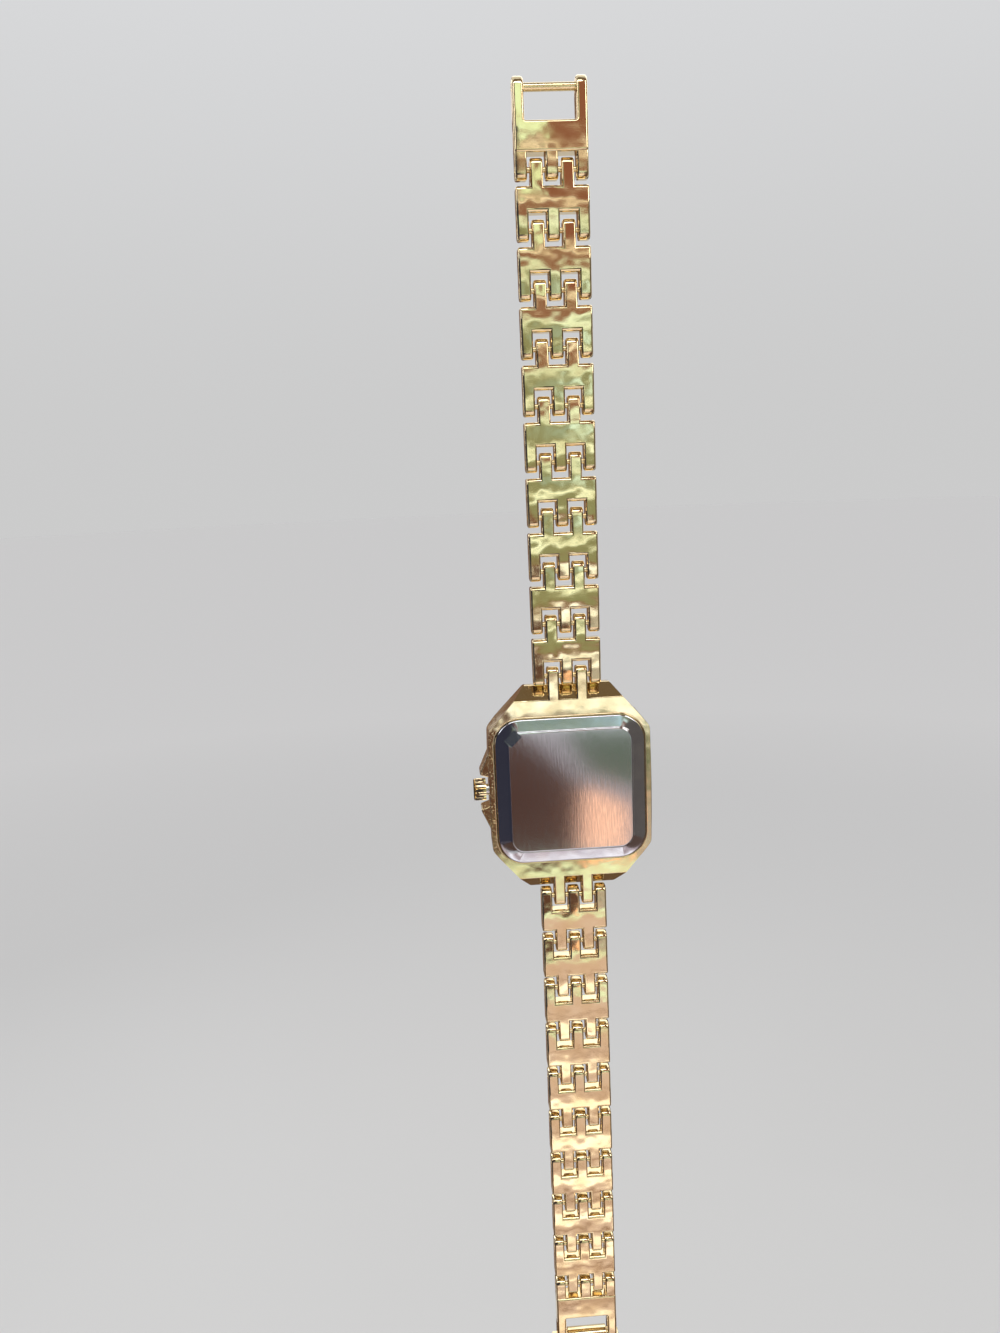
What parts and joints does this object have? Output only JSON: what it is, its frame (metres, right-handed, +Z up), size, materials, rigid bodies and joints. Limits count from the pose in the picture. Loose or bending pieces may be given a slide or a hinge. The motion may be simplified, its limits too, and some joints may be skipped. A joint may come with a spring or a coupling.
{
  "type": "square wristwatch",
  "caption": "Square analogue quartz wristwatch with a pressed steel case back, a guarded crown and an interlocking link bracelet, hanging open from the catch bar of its clasp.",
  "frame": {"origin": "middle of the case back's outer flat face", "axes": "+Z up the strap towards 12 o'clock, the way the watch hangs; -Y out of the case back towards the wrist; +Y out of the crystal; the crown is at -X"},
  "size_m": [0.0241, 0.0071, 0.1919],
  "materials": {
    "gold_plating": "polished gold plating on brass",
    "steel": "brushed steel",
    "battery_steel": "nickel-plated steel can",
    "crystal_glass": "clear mineral glass",
    "gasket": "soft matt seal",
    "dial_paint": "satin lacquer on a brass disc",
    "hand_metal": "polished",
    "movement_brass": "nickel-free brass, machined",
    "holder_plastic": "moulded",
    "board": "circuit laminate",
    "coil_wire": "enamelled copper winding"
  },
  "bodies": {
    "clasp_bracket": {"clasp_bracket": "gold_plating", "catch_bar": "gold_plating", "bracket_pin": "gold_plating"},
    "upper_link_9": {"upper_link_9": "gold_plating"},
    "upper_link_8": {"upper_link_8": "gold_plating", "upper_pins_8": "gold_plating"},
    "upper_link_7": {"upper_link_7": "gold_plating"},
    "upper_link_6": {"upper_link_6": "gold_plating", "upper_pins_6": "gold_plating"},
    "upper_link_5": {"upper_link_5": "gold_plating"},
    "upper_link_4": {"upper_link_4": "gold_plating", "upper_pins_4": "gold_plating"},
    "upper_link_3": {"upper_link_3": "gold_plating"},
    "upper_link_2": {"upper_link_2": "gold_plating", "upper_pins_2": "gold_plating"},
    "upper_link_1": {"upper_link_1": "gold_plating"},
    "case": {"case_middle": "gold_plating", "bezel": "gold_plating", "crystal": "crystal_glass", "crystal_gasket": "gasket", "caseback": "steel", "caseback_gasket": "gasket", "crown_tube": "steel", "dial": "dial_paint", "hour_markers": "gold_plating", "movement_holder": "holder_plastic", "movement_plate": "movement_brass", "train_bridge": "movement_brass", "circuit_board": "board", "coil": "coil_wire", "battery": "battery_steel", "battery_clip": "steel", "case_pins": "gold_plating"},
    "setting_lever": {"setting_lever": "steel"},
    "crown": {"crown": "gold_plating", "stem": "steel", "crown_gasket": "gasket"},
    "hour_hand": {"hour_hand": "hand_metal", "hour_wheel": "movement_brass"},
    "minute_hand": {"minute_hand": "hand_metal", "cannon_pinion": "movement_brass"},
    "lower_link_1": {"lower_link_1": "gold_plating"},
    "lower_link_2": {"lower_link_2": "gold_plating", "lower_pins_2": "gold_plating"},
    "lower_link_3": {"lower_link_3": "gold_plating"},
    "lower_link_4": {"lower_link_4": "gold_plating", "lower_pins_4": "gold_plating"},
    "lower_link_5": {"lower_link_5": "gold_plating"},
    "lower_link_6": {"lower_link_6": "gold_plating", "lower_pins_6": "gold_plating"},
    "lower_link_7": {"lower_link_7": "gold_plating"},
    "lower_link_8": {"lower_link_8": "gold_plating", "lower_pins_8": "gold_plating"},
    "lower_link_9": {"lower_link_9": "gold_plating"},
    "end_frame": {"end_frame": "gold_plating", "hinge_bar": "gold_plating", "end_frame_pin": "gold_plating"},
    "hook_blade": {"hook_blade": "gold_plating", "cover_pin": "gold_plating"},
    "clasp_cover": {"clasp_cover": "gold_plating"}
  },
  "joints": [
    {"name": "upper_hinge_10", "type": "hinge", "parent": "clasp_bracket", "child": "upper_link_9", "pos_m": [0, 0.00185, 0.0781], "axis": [1, 0, 0], "range_deg": [-90, 90]},
    {"name": "upper_hinge_9", "type": "hinge", "parent": "upper_link_9", "child": "upper_link_8", "pos_m": [0, 0.00185, 0.07115], "axis": [-1, 0, 0], "range_deg": [-90, 90]},
    {"name": "upper_hinge_8", "type": "hinge", "parent": "upper_link_8", "child": "upper_link_7", "pos_m": [0, 0.00185, 0.0642], "axis": [1, 0, 0], "range_deg": [-90, 90]},
    {"name": "upper_hinge_7", "type": "hinge", "parent": "upper_link_7", "child": "upper_link_6", "pos_m": [0, 0.00185, 0.05725], "axis": [-1, 0, 0], "range_deg": [-90, 90]},
    {"name": "upper_hinge_6", "type": "hinge", "parent": "upper_link_6", "child": "upper_link_5", "pos_m": [0, 0.00185, 0.0503], "axis": [1, 0, 0], "range_deg": [-90, 90]},
    {"name": "upper_hinge_5", "type": "hinge", "parent": "upper_link_5", "child": "upper_link_4", "pos_m": [0, 0.00185, 0.04335], "axis": [-1, 0, 0], "range_deg": [-90, 90]},
    {"name": "upper_hinge_4", "type": "hinge", "parent": "upper_link_4", "child": "upper_link_3", "pos_m": [0, 0.00185, 0.0364], "axis": [1, 0, 0], "range_deg": [-90, 90]},
    {"name": "upper_hinge_3", "type": "hinge", "parent": "upper_link_3", "child": "upper_link_2", "pos_m": [0, 0.00185, 0.02945], "axis": [-1, 0, 0], "range_deg": [-90, 90]},
    {"name": "upper_hinge_2", "type": "hinge", "parent": "upper_link_2", "child": "upper_link_1", "pos_m": [0, 0.00185, 0.0225], "axis": [1, 0, 0], "range_deg": [-90, 90]},
    {"name": "upper_hinge_1", "type": "hinge", "parent": "upper_link_1", "child": "case", "pos_m": [0, 0.00185, 0.01555], "axis": [-1, 0, 0], "range_deg": [-75, 90]},
    {"name": "lower_hinge_1", "type": "hinge", "parent": "case", "child": "lower_link_1", "pos_m": [0, 0.00185, -0.01555], "axis": [1, 0, 0], "range_deg": [-90, 75]},
    {"name": "lower_hinge_2", "type": "hinge", "parent": "lower_link_1", "child": "lower_link_2", "pos_m": [0, 0.00185, -0.0225], "axis": [-1, 0, 0], "range_deg": [-90, 90]},
    {"name": "lower_hinge_3", "type": "hinge", "parent": "lower_link_2", "child": "lower_link_3", "pos_m": [0, 0.00185, -0.02945], "axis": [1, 0, 0], "range_deg": [-90, 90]},
    {"name": "lower_hinge_4", "type": "hinge", "parent": "lower_link_3", "child": "lower_link_4", "pos_m": [0, 0.00185, -0.0364], "axis": [-1, 0, 0], "range_deg": [-90, 90]},
    {"name": "lower_hinge_5", "type": "hinge", "parent": "lower_link_4", "child": "lower_link_5", "pos_m": [0, 0.00185, -0.04335], "axis": [1, 0, 0], "range_deg": [-90, 90]},
    {"name": "lower_hinge_6", "type": "hinge", "parent": "lower_link_5", "child": "lower_link_6", "pos_m": [0, 0.00185, -0.0503], "axis": [-1, 0, 0], "range_deg": [-90, 90]},
    {"name": "lower_hinge_7", "type": "hinge", "parent": "lower_link_6", "child": "lower_link_7", "pos_m": [0, 0.00185, -0.05725], "axis": [1, 0, 0], "range_deg": [-90, 90]},
    {"name": "lower_hinge_8", "type": "hinge", "parent": "lower_link_7", "child": "lower_link_8", "pos_m": [0, 0.00185, -0.0642], "axis": [-1, 0, 0], "range_deg": [-90, 90]},
    {"name": "lower_hinge_9", "type": "hinge", "parent": "lower_link_8", "child": "lower_link_9", "pos_m": [0, 0.00185, -0.07115], "axis": [1, 0, 0], "range_deg": [-90, 90]},
    {"name": "lower_hinge_10", "type": "hinge", "parent": "lower_link_9", "child": "end_frame", "pos_m": [0, 0.00185, -0.0781], "axis": [-1, 0, 0], "range_deg": [-90, 90]},
    {"name": "blade_hinge", "type": "hinge", "parent": "end_frame", "child": "hook_blade", "pos_m": [0, 0.00185, -0.0873], "axis": [1, 0, 0], "range_deg": [-90, 90]},
    {"name": "cover_hinge", "type": "hinge", "parent": "hook_blade", "child": "clasp_cover", "pos_m": [0, 0.00185, -0.1023], "axis": [-1, 0, 0], "range_deg": [0, 165]},
    {"name": "crown_pull", "type": "slide", "parent": "case", "child": "setting_lever", "axis": [-1, 0, 0], "range_m": [0, 0.0006]},
    {"name": "crown_turn", "type": "hinge", "parent": "setting_lever", "child": "crown", "pos_m": [-0.0122, 0.00305, 0], "axis": [-1, 0, 0], "continuous": true},
    {"name": "minute_hand_turn", "type": "hinge", "parent": "case", "child": "minute_hand", "pos_m": [0, 0.005, 0], "axis": [0, -1, 0], "continuous": true},
    {"name": "hour_hand_turn", "type": "hinge", "parent": "case", "child": "hour_hand", "pos_m": [0, 0.005, 0], "axis": [0, -1, 0], "continuous": true}
  ],
  "couplings": [
    {"joint": "hour_hand_turn", "follows": "minute_hand_turn", "ratio": 0.083333}
  ]
}
